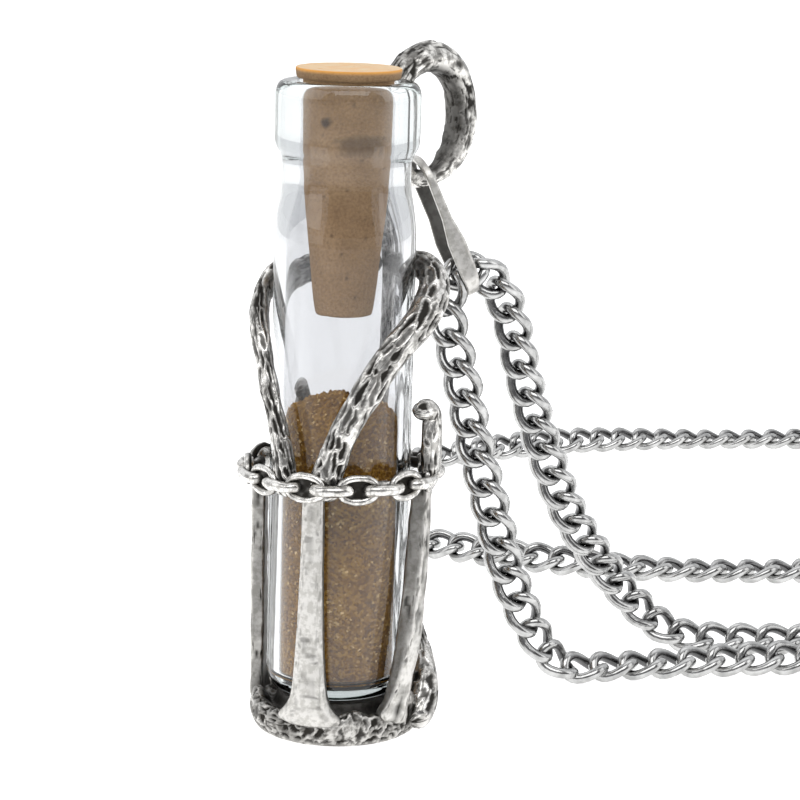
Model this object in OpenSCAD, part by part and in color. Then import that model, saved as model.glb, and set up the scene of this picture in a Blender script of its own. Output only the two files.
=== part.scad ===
// Bottle pendant: a corked glass vial of bronze powder in a cast cage of roots and twigs,
// hung by a bail on a curb chain. It stands upright on its base, with the chain laid behind it.
// The origin is the middle of the base's flat underside, +Z runs up the vial, the front strap
// faces -Y, and the stem and crook stand behind the vial at +Y.
// Azimuths are counted from -Y toward +X, in degrees.

/* [Vial] */
// Outside diameter of the glass body
vial_d = 12.5; // [10.5:0.1:15]
// Height from the vial's bottom to the top of its lip
vial_h = 54.5; // [50:0.5:60]
// Thickness of the glass wall
glass_t = 1.1; // [0.7:0.05:1.5]
// Thickness of the glass floor
floor_t = 1.2; // [0.8:0.05:2]
// Radius of the rounded heel
heel_r = 1.9; // [1.2:0.1:2.6]
// Outside diameter of the rolled lip
lip_d = 12.7; // [11.6:0.1:14]
// Height of the rolled lip
lip_h = 6.1; // [4:0.1:8]
// Outside diameter of the neck
neck_d = 11.3; // [10.6:0.1:12.2]
// Height of the straight neck under the lip
neck_h = 3.0; // [2:0.1:5]
// Height of the shoulder between neck and body
shoulder_h = 3.4; // [2:0.1:5]
// Bore of the mouth
mouth_d = 8.2; // [7:0.1:9]

/* [Cork] */
// Diameter of the cork's head
cork_head_d = 9.3; // [8.8:0.1:11]
// Height of the head above the lip
cork_head_h = 1.2; // [0.6:0.1:3]
// Length of the cork inside the vial
cork_len = 20.4; // [12:0.2:24]
// Diameter of the cork's lower end
cork_tip_d = 5.1; // [4:0.1:6]
// Space between the cork and the mouth
cork_gap = 0.12; // [0.08:0.01:0.2]

/* [Powder] */
// Depth of the powder at the glass
powder_h = 24.6; // [12:0.2:28]
// Height of the heap in the middle
heap_h = 0.9; // [0.3:0.1:2]
// Space between the powder and the glass
powder_gap = 0.1; // [0.05:0.01:0.2]

/* [Cage] */
// Diameter of the base
base_d = 15.2; // [14:0.1:19]
// Height of the base's rim
rim_h = 2.8; // [1.6:0.1:4]
// Height of the pad that carries the vial
pad_h = 3.4; // [2.9:0.1:5]
// Space between the cage and the glass
cage_gap = 0.3; // [0.2:0.05:0.6]
// Thickness of the flat straps
strap_t = 1.25; // [0.9:0.05:1.8]
// Width of the straps where they meet the band
strap_w = 1.8; // [1.2:0.1:3]
// Height of the band's middle
band_z = 23.6; // [16:0.2:26]
// Pairs of links in the band
band_pairs = 11; // [9:1:13]
// Wire thickness of the band's links
band_wire = 0.8; // [0.6:0.05:1]
// Height of a link of the band, across its face
band_link_w = 2.4; // [2:0.1:2.8]
// Thickness of the arms, outward from the glass
arm_t = 1.8; // [1.2:0.1:2.4]
// Width of the left arm
left_arm_w = 2.0; // [1.4:0.1:2.6]
// Width of the right arm
right_arm_w = 2.7; // [1.8:0.1:3.2]
// Height at which the arms pass behind the vial
yoke_z = 41.4; // [34:0.2:43]
// Thickness of the stem behind the vial
stem_d = 2.2; // [1.6:0.1:2.8]
// Height of the prongs above the band's middle
prong_h = 7.0; // [4:0.1:9]
// Thickness of the prongs
prong_d = 1.25; // [0.8:0.05:1.5]

/* [Crook] */
// Height of the crook's middle
crook_z = 53.8; // [50:0.1:58]
// Radius of the crook's centre line
crook_r = 5.5; // [4.8:0.1:7]
// Thickness of the crook at its far side
crook_d = 2.9; // [2.2:0.1:3.2]
// Thickness of the crook where the bail hangs
crook_seat_d = 1.7; // [1.4:0.1:1.9]
// Turn of the crook about the stem
crook_turn = 8; // [0:1:20]

/* [Bail] */
// Length of the bail
bail_len = 13.8; // [11:0.1:16]
// Thickness of the bail's strip
bail_t = 0.5; // [0.35:0.05:0.7]
// Width of the strip on the crook
bail_top_w = 0.8; // [0.6:0.1:1.4]
// Width of the strip at the chain
bail_low_w = 1.5; // [1.1:0.1:2.0]
// Inside depth of the loop at the crook
bail_top_gap = 4.5; // [4.2:0.1:5]
// Inside depth of the loop at the chain
bail_low_gap = 3.2; // [3.1:0.1:3.8]
// Lean of the bail from upright
bail_lean = 24.5; // [15:0.5:32]

/* [Chain] */
// Pitch from link to link
link_pitch = 2.95; // [2.86:0.02:3.04]
// Width of a link
link_w = 3.6; // [3.4:0.05:3.8]
// Breadth of a link's metal, seen on its face
link_wire = 0.8; // [0.6:0.01:0.84]
// Thickness of a link from face to face
link_t = 0.6; // [0.5:0.01:0.64]
// Play between two hooked links
link_play = 0.36; // [0.34:0.02:0.44]
// Links that the clasp takes the place of, an odd number
clasp_links = 3; // [3:2:5]
// Diameter of the clasp's barrel
clasp_d = 2.6; // [1.8:0.1:2.7]

/* [Hidden] */
fine = 48;

vial_r = vial_d / 2;
seat_gap = 0.2;
vial_z = pad_h + seat_gap;
lip_z = vial_z + vial_h;
bore_r = vial_r - glass_t;
floor_z = vial_z + floor_t;
neck_z = lip_z - lip_h - neck_h;
shoulder_z = neck_z - shoulder_h;
lip_round = 0.8;
mouth_r = mouth_d / 2;
glass_r = vial_r + cage_gap;
stem_r = max(vial_r, lip_d / 2) + 0.75 + stem_d / 2;

// The picture's own axes are turned by this much from the part's: right, back, up
lay_turn = 30;
// Height of the chain's middle where it lies
lay_z = 1.56;
// The necklace's route, right, back and up from the origin: bail, near strand, outer turn,
// far run, hidden turn behind the vial, middle run, inner turn and the other strand
route = [
    [10.47, 11.8, 40.50], [9.05, 11.35, 37.90], [9.32, 11.4, 35.00], [10.40, 11.6, 31.40],
    [11.20, 11.8, 28.00], [11.90, 12.0, 24.80], [12.90, 12.2, 21.00], [13.90, 12.4, 17.60],
    [14.80, 12.7, 14.20], [15.70, 13.1, 11.10], [17.00, 13.6, 7.80], [18.63, 14.2, 4.60],
    [20.56, 14.9, 2.50], [23.07, 15.7, lay_z], [28.09, 17.1, lay_z], [35.12, 18.7, lay_z],
    [44.15, 20.1, lay_z], [58.21, 20.7, lay_z], [73.27, 20.9, lay_z], [106.87, 27.7, lay_z],
    [125.94, 46.2, lay_z], [132.97, 71.3, lay_z], [125.94, 96.4, lay_z], [106.87, 114.9, lay_z],
    [73.27, 122.5, lay_z], [57.21, 124.1, lay_z], [40.14, 121.9, lay_z], [25.58, 117.1, lay_z],
    [12.03, 109.0, lay_z], [-0.02, 100.4, lay_z], [-7.55, 90.4, lay_z], [-8.05, 78.8, lay_z],
    [-1.02, 68.3, lay_z], [10.02, 61.3, lay_z], [20.56, 56.6, lay_z], [32.11, 54.4, lay_z],
    [48.17, 55.0, lay_z], [64.23, 55.8, lay_z], [80.30, 55.6, lay_z], [90.34, 51.2, lay_z],
    [94.85, 41.2, lay_z], [90.34, 31.1, lay_z], [80.30, 26.7, lay_z], [64.23, 26.0, lay_z],
    [50.18, 26.0, lay_z], [41.14, 26.3, lay_z], [35.14, 26.4, 1.95], [31.09, 25.9, 3.25],
    [28.23, 24.8, 5.79], [25.60, 22.9, 9.20], [23.40, 21.2, 12.40], [21.40, 19.7, 15.80],
    [20.10, 18.5, 19.00], [18.80, 17.3, 22.40], [17.60, 16.2, 26.20], [16.50, 15.1, 30.00],
    [15.50, 14.1, 34.20], [14.45, 13.2, 37.60], [12.87, 12.45, 39.55]
];

function unit(v) = v / norm(v);
function reversed(v) = [for (i = [len(v) - 1 : -1 : 0]) v[i]];
function mix(a, b, t) = a * (1 - t) + b * t;
function around(az, r, z) = [r * sin(az), -r * cos(az), z];
function laid(p) = [p[0] * cos(lay_turn) - p[1] * sin(lay_turn),
                    p[0] * sin(lay_turn) + p[1] * cos(lay_turn), p[2]];

// A point of the smooth curve through p1 and p2, with p0 and p3 beside them
function smooth(p0, p1, p2, p3, t) =
    0.5 * (2 * p1 + (p2 - p0) * t + (2 * p0 - 5 * p1 + 4 * p2 - p3) * t * t
           + (3 * p1 - p0 - 3 * p2 + p3) * t * t * t);
// The rows of a table joined by that curve, with n steps to a row
function eased(rows, n) = [
    for (i = [0 : len(rows) - 2], k = [0 : n - 1])
        smooth(rows[max(i - 1, 0)], rows[i], rows[i + 1], rows[min(i + 2, len(rows) - 1)], k / n),
    rows[len(rows) - 1]
];
function eased_loop(rows, n) = [
    for (i = [0 : len(rows) - 1], k = [0 : n - 1])
        let (m = len(rows))
            smooth(rows[(i + m - 1) % m], rows[i], rows[(i + 1) % m], rows[(i + 2) % m], k / n),
    rows[0]
];

// A closed skin over rings of points, each ring with the same number of points
module skin(rings) {
    n = len(rings[0]);
    m = len(rings);
    polyhedron(
        points = [for (ring = rings, p = ring) p],
        faces = concat(
            [[for (k = [0 : n - 1]) k]],
            [for (j = [0 : m - 2], k = [0 : n - 1])
                let (q = (k + 1) % n) [j * n + k, (j + 1) * n + k, (j + 1) * n + q, j * n + q]],
            [[for (k = [n - 1 : -1 : 0]) (m - 1) * n + k]]
        )
    );
}

// A limb along a path: each ring is an ellipse that stands across the path, with its
// half thickness along the out direction and its half width across it
module limb(path, outs, widths, thicks, sides = 8) {
    m = len(path);
    skin([
        for (j = [0 : m - 1])
            let (t = unit(path[min(j + 1, m - 1)] - path[max(j - 1, 0)]),
                 s = unit(cross(t, outs[j])),
                 o = cross(s, t))
                [for (k = [0 : sides - 1])
                    let (a = 360 * (k + 0.5) / sides)
                        path[j] + o * thicks[j] * cos(a) + s * widths[j] * sin(a)]
    ]);
}

// A ring of round wire drawn out along X: two half rings and two straight sides, flat in XY.
// The sides run into the half rings by the lap.
module oval_link(length, width, wire, turn = fine, lap = 0) {
    r = (width - wire) / 2;
    half = (length - width) / 2;
    round_n = max(6, turn / 2);
    for (e = [-1, 1])
        translate([e * half, 0, 0])
            rotate([0, 0, e > 0 ? -90 : 90])
                rotate_extrude(angle = 180, $fn = turn)
                    translate([r, 0]) circle(d = wire, $fn = round_n);
    for (s = [-1, 1])
        translate([0, s * r, 0])
            rotate([90, 0, 90])
                cylinder(d = wire, h = 2 * (half + lap), center = true, $fn = round_n);
}

// The glass bottle, one turned profile less its bore
module vial() {
    color([0.86, 0.93, 0.93, 0.35])
        translate([0, 0, vial_z])
            rotate_extrude($fn = 2 * fine)
                difference() {
                    vial_outside();
                    vial_bore();
                }
}

module vial_outside() {
    body_h = shoulder_z - vial_z;
    neck_r = neck_d / 2;
    lip_r = lip_d / 2;
    square([vial_r - heel_r, heel_r]);
    translate([0, heel_r]) square([vial_r, body_h - heel_r]);
    intersection() {
        translate([vial_r - heel_r, heel_r]) circle(heel_r, $fn = fine);
        square(vial_r);
    }
    polygon([[0, body_h - 0.5], [vial_r, body_h - 0.5], [vial_r, body_h],
             [mix(vial_r, neck_r, 0.2), body_h + 0.42 * shoulder_h],
             [mix(vial_r, neck_r, 0.75), body_h + 0.8 * shoulder_h],
             [neck_r, body_h + shoulder_h], [0, body_h + shoulder_h]]);
    translate([0, body_h + shoulder_h - 0.1]) square([neck_r, neck_h + 0.2]);
    translate([0, vial_h - lip_h]) square([lip_r - lip_round, lip_h]);
    translate([0, vial_h - lip_h + lip_round]) square([lip_r, lip_h - 2 * lip_round]);
    for (z = [vial_h - lip_h + lip_round, vial_h - lip_round])
        intersection() {
            translate([lip_r - lip_round, z]) circle(lip_round, $fn = fine);
            translate([0, z - lip_round]) square([lip_r, 2 * lip_round]);
        }
}

module vial_bore() {
    body_h = shoulder_z - vial_z;
    polygon([[0, floor_t], [bore_r - 0.8, floor_t], [bore_r - 0.24, floor_t + 0.24],
             [bore_r, floor_t + 0.8], [bore_r, body_h],
             [mix(bore_r, mouth_r, 0.3), body_h + 0.5 * shoulder_h],
             [mouth_r, body_h + shoulder_h], [mouth_r, vial_h + 1], [0, vial_h + 1]]);
}

// The stopper: a wide head, then a taper that fits the mouth and narrows to its lower end
module cork() {
    top_r = mouth_r - cork_gap;
    tip_r = cork_tip_d / 2;
    color([0.72, 0.56, 0.38])
        translate([0, 0, lip_z])
            rotate_extrude($fn = 2 * fine)
                polygon([[0, -cork_len], [tip_r - 0.3, -cork_len], [tip_r, 0.3 - cork_len],
                         [mix(tip_r, top_r, 0.22), -0.88 * cork_len],
                         [mix(tip_r, top_r, 0.45), -0.7 * cork_len],
                         [mix(tip_r, top_r, 0.74), -0.5 * cork_len],
                         [mix(tip_r, top_r, 0.88), -0.34 * cork_len],
                         [top_r, 0], [top_r, seat_gap], [cork_head_d / 2 - 0.1, seat_gap],
                         [cork_head_d / 2, cork_head_h - 0.25],
                         [cork_head_d / 2 - 0.2, cork_head_h], [0, cork_head_h]]);
}

// The powder, heaped in the middle
module powder() {
    r = bore_r - powder_gap;
    color([0.54, 0.40, 0.26])
        translate([0, 0, floor_z + powder_gap])
            rotate_extrude($fn = 2 * fine)
                polygon([[0, 0], [r - 0.8, 0], [r - 0.24, 0.24], [r, 0.8], [r, powder_h],
                         [0.72 * r, powder_h + 0.45 * heap_h], [0.3 * r, powder_h + heap_h],
                         [0, powder_h + heap_h]]);
}

// Flat straps from the base to the band. Columns: share of the way up, azimuth at the foot
// side, width as a share of the strap's width.
front_strap = [
    [0.00, 12.5, 4.6], [0.05, 12.7, 3.1], [0.11, 12.8, 2.0], [0.20, 12.9, 1.60],
    [0.40, 13.0, 1.30], [0.70, 13.3, 1.08], [1.00, 13.6, 1.00]
];
right_strap = [
    [0.00, 74, 2.3], [0.07, 78, 1.55], [0.16, 83, 1.25], [0.35, 91, 1.15],
    [0.60, 99, 1.10], [0.80, 105, 1.05], [1.00, 109, 1.05]
];
left_strap = [
    [0.00, -77, 2.0], [0.07, -76, 1.45], [0.16, -75, 1.25], [0.35, -73, 1.2],
    [0.60, -70, 1.15], [0.80, -68, 1.10], [1.00, -66, 1.10]
];
// The root that climbs from the base, and the stem above it. Columns: azimuth, share of the
// way up (1 at the band's middle and 2 at the crook's), radius outward as a share of the stem's,
// half thickness as a share of the stem's.
root = [
    [104, 0.045, 0.93, 0.9], [113, 0.095, 0.96, 1.20], [121, 0.16, 0.97, 1.25],
    [130, 0.25, 0.97, 1.12], [141, 0.36, 0.97, 1.0], [154, 0.5, 0.98, 0.95],
    [167, 0.68, 0.98, 0.95], [176, 0.88, 0.99, 0.95], [178, 1.08, 1, 0.95],
    [174, 1.27, 1, 0.95], [171, 1.47, 1, 1], [172, 1.61, 1, 1], [178, 1.77, 1, 1],
    [185, 1.90, 1, 1]
];
// The arms. Columns: azimuth, share of the way from band to yoke, width, thickness
left_arm = [
    [-9, 0.03, 1.05, 1.0], [-11.5, 0.15, 1.0, 0.95], [-17, 0.27, 0.95, 0.9], [-25, 0.39, 0.92, 0.85],
    [-33, 0.52, 0.92, 0.82], [-42, 0.65, 0.95, 0.8], [-55, 0.76, 1.0, 0.8], [-72, 0.86, 1.15, 0.8],
    [-90, 0.93, 1.35, 0.8], [-112, 0.96, 1.4, 0.9], [-137, 0.98, 1.3, 1.0],
    [-160, 1.0, 1.15, 1.05], [-182, 1.0, 1.0, 1.0]
];
right_arm = [
    [22, 0.03, 1.02, 1.0], [27, 0.16, 0.95, 1.0], [34, 0.29, 0.95, 1.0], [44, 0.42, 0.98, 1.05],
    [56, 0.56, 1.0, 1.15], [70, 0.69, 1.02, 1.3], [87, 0.80, 1.02, 1.5], [105, 0.92, 1.0, 1.6],
    [121, 1.0, 0.95, 1.45], [140, 1.02, 0.88, 1.2], [158, 1.01, 0.85, 1.0], [175, 1.0, 0.8, 1.0]
];
// Prongs. Columns: azimuth of the post, azimuth of the tip
prongs = [[109, 98], [-116, -106]];

function hug(az, z, t) = around(az, glass_r + t / 2, z);

module strap(rows) {
    foot = 0.65 * rim_h;
    secs = eased(rows, 2);
    r1 = glass_r + 0.05;
    r2 = r1 + strap_t;
    skin([
        for (s = secs)
            let (z = mix(foot, band_z, s[0]),
                 half = s[2] * strap_w / 2,
                 c = [sin(s[1]), -cos(s[1]), 0],
                 e = [cos(s[1]), sin(s[1]), 0],
                 sag = half * half / (2 * r2),
                 up = [0, 0, z])
                [c * r1 - e * half + up, c * (r2 - sag) - e * half * 0.92 + up,
                 c * r2 + up, c * (r2 - sag) + e * half * 0.92 + up, c * r1 + e * half + up]
    ]);
}

module arm(rows, width) {
    secs = eased(rows, 2);
    limb(
        [for (s = secs) hug(s[0], mix(band_z, yoke_z, s[1]), s[3] * arm_t)],
        [for (s = secs) around(s[0], 1, 0)],
        [for (s = secs) s[2] * width / 2],
        [for (s = secs) s[3] * arm_t / 2]
    );
}

module root_and_stem() {
    secs = eased(root, 2);
    limb(
        [for (s = secs)
            around(s[0], stem_r * s[2], s[1] < 1 ? s[1] * band_z : mix(band_z, crook_z, s[1] - 1))],
        [for (s = secs) around(s[0], 1, 0)],
        [for (s = secs) s[3] * stem_d / 2],
        [for (s = secs) s[3] * stem_d / 2]
    );
}

// The crook's frame: its line out of the stem, its middle and the place where the bail hangs
crook_root_az = 186;
crook_out = [sin(crook_turn), cos(crook_turn), 0];
crook_mid = around(crook_root_az, stem_r, crook_z) + crook_out * crook_r;
crook_seat = crook_mid - [0, 0, crook_r];

// The crook leaves the stem upward, goes over and round and closes on the stem again.
// Columns: angle round the ring from its far side, thickness share between seat and far side
crook_turns = [
    [212, 0.35], [190, 0.5], [165, 0.7], [140, 0.85], [115, 0.95], [90, 1.0], [65, 1.0],
    [40, 1.0], [15, 1.0], [-10, 0.95], [-35, 0.8], [-60, 0.4], [-80, 0.05], [-100, 0],
    [-120, 0.1], [-140, 0.2], [-160, 0.2]
];

module crook() {
    secs = eased(crook_turns, 2);
    outs = [for (s = secs) crook_out * cos(s[0]) + [0, 0, sin(s[0])]];
    halves = [for (s = secs) mix(crook_seat_d, crook_d, s[1]) / 2];
    limb([for (o = outs) crook_mid + o * crook_r], outs, halves, halves);
}

module base() {
    r = base_d / 2;
    pad_r = vial_r - 0.6 * heel_r;
    rotate_extrude($fn = 40)
        polygon([[0, 0], [r - 0.8, 0], [r - 0.25, 0.25 * rim_h], [r, 0.6 * rim_h],
                 [r - 0.3, rim_h], [r - 1.2, rim_h], [pad_r + 0.4, 0.8 * rim_h],
                 [pad_r, pad_h], [0, pad_h]]);
}

// Lumps of bark on the rim. Columns: azimuth, half angle, height as a share of the rim's
lumps = [[-55, 9, 1.25], [-98, 10, 1.2], [-150, 14, 1.2], [98, 12, 1.45], [128, 13, 1.9],
         [162, 12, 1.3], [45, 8, 1.15]];

module rim_lumps() {
    for (l = lumps)
        hull()
            for (k = [-1, 0, 1])
                translate(around(l[0] + k * l[1], base_d / 2 - 0.75, 0.5 * rim_h)) {
                    cylinder(r = 0.72, h = 0.01, $fn = 8);
                    translate([0, 0, (l[2] - 0.5) * rim_h * (k == 0 ? 1 : 0.75) - 0.5])
                        sphere(0.6, $fn = 8);
                }
}

// The band: ovals that face outward, and between them ovals seen on edge, fused into one ring
module band() {
    step = 360 / band_pairs;
    ring_r = glass_r + 0.45 + band_link_w / 2;
    length = 2 * PI * ring_r / band_pairs / 2 + 1.5 * band_wire;
    for (k = [0 : band_pairs - 1], edge = [0, 1])
        rotate([0, 0, 9.9 + step * (k + edge / 2)])
            translate([0, -ring_r, band_z])
                rotate([edge == 1 ? 0 : 90, 0, 0])
                    oval_link(length, band_link_w, band_wire, 8, 0.06);
}

module prong(post_az, tip_az) {
    r = glass_r + 1.05 + prong_d / 2;
    top = band_z + prong_h - prong_d / 2;
    knots = [around(post_az, r, band_z), around(post_az, r, top - 0.5),
             around(mix(post_az, tip_az, 0.25), r - 0.3, top),
             around(tip_az, glass_r + prong_d / 2 + 0.1, top - 0.15)];
    for (i = [0 : len(knots) - 2])
        hull()
            for (p = [knots[i], knots[i + 1]])
                translate(p) sphere(d = prong_d, $fn = 8);
}

// The casting: everything of darkened silver in one piece
module cage() {
    color([0.62, 0.61, 0.58])
        union() {
            base();
            rim_lumps();
            strap(front_strap);
            strap(right_strap);
            strap(left_strap);
            root_and_stem();
            band();
            arm(left_arm, left_arm_w);
            arm(right_arm, right_arm_w);
            crook();
            for (p = prongs) prong(p[0], p[1]);
        }
}

// The bail's frame: it hangs on the crook's seat and leans to the picture's right
bail_side_turn = 17;
hang_gap = 0.85;
bail_down = laid([sin(bail_lean), 0, -cos(bail_lean)]);
bail_wide = laid([cos(bail_lean) * cos(bail_side_turn), sin(bail_side_turn),
                  sin(bail_lean) * cos(bail_side_turn)]);
bail_deep = cross(bail_wide, bail_down);

// A strip bent into a long loop. Drawn with its length along X, its depth along Y and its
// width along Z, then set on the crook's seat.
module bail() {
    top_r = bail_top_gap / 2;
    low_r = bail_low_gap / 2;
    top_x = top_r - crook_seat_d / 2 - hang_gap;
    end_x = top_x - top_r - bail_t;
    low_x = end_x + bail_len - low_r - bail_t;
    widths = [[-0.01, bail_top_w], [0.6, bail_low_w], [0.78, 0.9 * bail_low_w], [1.01, 0.5 * bail_low_w]];
    color([0.78, 0.78, 0.77])
        translate(crook_seat)
            multmatrix([[bail_down[0], bail_deep[0], bail_wide[0], 0],
                        [bail_down[1], bail_deep[1], bail_wide[1], 0],
                        [bail_down[2], bail_deep[2], bail_wide[2], 0]])
                intersection() {
                    translate([0, 0, -bail_low_w])
                        linear_extrude(2 * bail_low_w)
                            difference() {
                                loop_outline(top_x, top_r + bail_t, low_x, low_r + bail_t);
                                loop_outline(top_x, top_r, low_x, low_r);
                            }
                    translate([0, 10, 0])
                        rotate([90, 0, 0])
                            linear_extrude(20)
                                polygon([
                                    for (side = [-1, 1], row = side < 0 ? widths : reversed(widths))
                                        [end_x + row[0] * bail_len, side * row[1] / 2]
                                ]);
                }
}

// The outline round two circles and the lines that touch both
module loop_outline(x1, r1, x2, r2, n = 14) {
    a = acos((r1 - r2) / (x2 - x1));
    polygon([
        for (k = [0 : n]) let (b = a + k * (360 - 2 * a) / n) [x1 + r1 * cos(b), r1 * sin(b)],
        for (k = [0 : n]) let (b = -a + k * 2 * a / n) [x2 + r2 * cos(b), r2 * sin(b)]
    ]);
}

// The chain's joints stand a pitch apart along the eased route, and each link spans two
route_path = [for (p = eased_loop(route, 12)) laid(p)];
path_marks = [for (i = 0, s = 0; i < len(route_path);
                   s = s + (i + 1 < len(route_path) ? norm(route_path[i + 1] - route_path[i]) : 0),
                   i = i + 1) [s, i]];
route_len = path_marks[len(path_marks) - 1][0];
place_count = 2 * round(route_len / link_pitch / 2);
step_len = route_len / place_count;
// Extra roll of the links at the bail
bail_roll = 40;
// The bail holds the middle of this place, and the clasp fills the places from this one on
first_shift = -0.5;
clasp_place = 2 * round(0.3125 * place_count);

function route_at(s) =
    let (wrapped = s - route_len * floor(s / route_len),
         q = lookup(wrapped, path_marks),
         i = min(floor(q), len(route_path) - 2))
        mix(route_path[i], route_path[i + 1], q - i);
function joint(i) = route_at((i + first_shift) * step_len);
function heading(i) = unit(joint(i + 1) - joint(i));
function side(t) = unit(cross([0, 0, 1], t));
// Links lie rolled 45 degrees to either side, and upright and flat by turns at the bail
function near_bail(i) = max(0, 1 - min(i, place_count - i) / 9);
function roll(i) = (i % 2 == 0 ? 1 : -1) * 45 + bail_roll * near_bail(i);
function link_across(i) =
    let (t = heading(i), s = side(t), up = cross(t, s))
        s * cos(roll(i)) + up * sin(roll(i));
// A link in a bend stands a little outward, as the links beside it pull it inward
function link_mid(i, last) =
    let (bend = (heading(last + 1) - heading(i - 1)) / 2, d = link_across(i))
        (joint(i) + joint(last + 1)) / 2 - d * (bend * d) * 0.45;

module set_link(i, last) {
    t = unit(joint(last + 1) - joint(i));
    d0 = link_across(i);
    d = unit(d0 - t * (d0 * t));
    n = cross(t, d);
    c = link_mid(i, last);
    multmatrix([[t[0], d[0], n[0], c[0]], [t[1], d[1], n[1], c[1]], [t[2], d[2], n[2], c[2]]])
        children();
}

link_len = step_len + 2 * link_wire + link_play;

module track(length, width) {
    for (e = [-1, 1])
        translate([e * (length - width) / 2, 0]) circle(d = width, $fn = fine);
    square([length - width, width], center = true);
}

module chain() {
    color([0.80, 0.80, 0.80])
        for (i = [0 : place_count - 1])
            if (i < clasp_place || i >= clasp_place + clasp_links)
                set_link(i, i)
                    linear_extrude(link_t, center = true)
                        difference() {
                            track(link_len, link_w);
                            track(link_len - 2 * link_wire, link_w - 2 * link_wire);
                        }
}

// A barrel with an eye at each end
module clasp() {
    last = clasp_place + clasp_links - 1;
    span = norm(joint(last + 1) - joint(clasp_place)) + 2 * link_wire + link_play;
    eye_len = link_w + 0.6;
    barrel_h = span - 2 * (eye_len - link_w / 2 - 0.1);
    color([0.80, 0.80, 0.80])
        set_link(clasp_place, last) {
            for (e = [-1, 1])
                translate([e * (span - eye_len) / 2, 0, 0]) oval_link(eye_len, link_w, link_wire, 24);
            rotate([0, 90, 0])
                cylinder(d = clasp_d, h = barrel_h, center = true, $fn = fine);
        }
}

vial();
cork();
powder();
cage();
bail();
chain();
clasp();
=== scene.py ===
# Bottle pendant: a corked glass vial of bronze powder in a cast silver cage of roots and twigs,
# with a tapered bail and a curb chain. Lengths are in millimetres here and become metres in makePiece.
# Azimuths are counted from -Y toward +X, as in the CAD source.
import bpy
import math
import numpy as np
from mathutils import Matrix


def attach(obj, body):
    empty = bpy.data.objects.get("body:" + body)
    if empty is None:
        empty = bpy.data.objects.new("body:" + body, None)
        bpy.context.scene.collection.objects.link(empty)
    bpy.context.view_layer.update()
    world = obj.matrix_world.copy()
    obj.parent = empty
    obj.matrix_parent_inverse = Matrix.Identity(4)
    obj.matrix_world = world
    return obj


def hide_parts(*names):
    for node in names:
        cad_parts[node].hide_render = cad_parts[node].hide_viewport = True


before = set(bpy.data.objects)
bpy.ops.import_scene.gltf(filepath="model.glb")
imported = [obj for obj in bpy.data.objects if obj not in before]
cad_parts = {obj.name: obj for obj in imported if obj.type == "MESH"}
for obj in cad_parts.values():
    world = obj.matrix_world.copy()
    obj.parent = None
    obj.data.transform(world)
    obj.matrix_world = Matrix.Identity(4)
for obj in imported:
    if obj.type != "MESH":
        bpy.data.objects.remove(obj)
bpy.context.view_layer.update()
millimetre = 0.001
print("frame loaded")


# Small helpers for shapes

def smoothStep(x, low, high):
    # 0 below low, 1 above high, and an S-shaped ease between
    t = np.clip((x - low) / (high - low), 0, 1)
    return t * t * (3 - 2 * t)


def mixed(a, b, t):
    # A straight line from a at 0 to b at 1
    return a * (1 - t) + b * t


def unit(v):
    # Each vector over its length
    return v / np.maximum(np.linalg.norm(v, axis=-1, keepdims=True), 1e-12)


def around(azimuth, radius, z):
    # Point at an azimuth in degrees, a distance from the axis and a height
    a = np.radians(azimuth)
    return np.stack(np.broadcast_arrays(radius * np.sin(a), -radius * np.cos(a), z), -1)


def fromAxis(p):
    # Distance from the upright axis
    return np.linalg.norm(p[..., :2], axis=-1)


def easedRows(rows, steps, closed=False):
    # Smooth curve through the rows: a cubic between neighbours, its slope at each row half the step
    # from the row before to the row after
    rows = np.asarray(rows, float)
    rim = (rows[-1:], rows[:2]) if closed else (rows[:1], rows[-1:])
    p = np.vstack([rim[0], rows, rim[1]])
    a, b, c, d = (p[k:len(p) - 3 + k, None, :] for k in range(4))
    t = np.linspace(0, 1, steps, endpoint=False)[None, :, None]
    curve = 0.5 * (2 * b + (c - a) * t + (2 * a - 5 * b + 4 * c - d) * t**2
                   + (3 * b + d - a - 3 * c) * t**3)
    return np.vstack([curve.reshape(-1, rows.shape[1]), rows[:1] if closed else rows[-1:]])


def angles(count):
    # Even steps once round, in radians
    return np.linspace(0, 2 * math.pi, count, endpoint=False)


def lengthAlong(points):
    # Running length from the first point
    return np.append(0, np.cumsum(np.linalg.norm(np.diff(points[:, :3], axis=0), axis=1)))


def evenRows(rows, spacing):
    # The same line with its rows spaced evenly, the first three columns being the place
    s = lengthAlong(rows)
    at = np.linspace(0, s[-1], max(3, int(round(s[-1] / spacing)) + 1))
    return np.stack([np.interp(at, s, rows[:, k]) for k in range(rows.shape[1])], 1)


def hashed(cells, salt):
    # A repeatable number from 0 to 1 for each whole-number cell
    c = cells.astype(np.int64)
    h = c[..., 0] * 73856093 ^ c[..., 1] * 19349663 ^ c[..., 2] * 83492791 ^ (salt + 11) * 26544357
    h = (h ^ (h >> 13)) * 1274126177 & 0x7fffffff
    h = (h ^ (h >> 15)) * 668265263 & 0x7fffffff
    return (h >> 7 & 0xffff) / 65535


def softNoise(p, salt=0):
    # Value noise: random numbers on a unit lattice, blended between the eight corners
    base = np.floor(p)
    t = p - base
    t = t * t * (3 - 2 * t)
    total = 0
    for corner in np.ndindex(2, 2, 2):
        share = np.prod(np.where(corner, t, 1 - t), axis=-1)
        total = total + share * hashed(base + corner, salt)
    return total


def layeredNoise(p, salt=0, layers=3):
    # Value noise with finer and fainter copies on top
    total, weight = 0, 0
    for k in range(layers):
        total = total + softNoise(p * 2**k + 7.3 * k, salt + k) / 2**k
        weight += 1 / 2**k
    return total / weight


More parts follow.
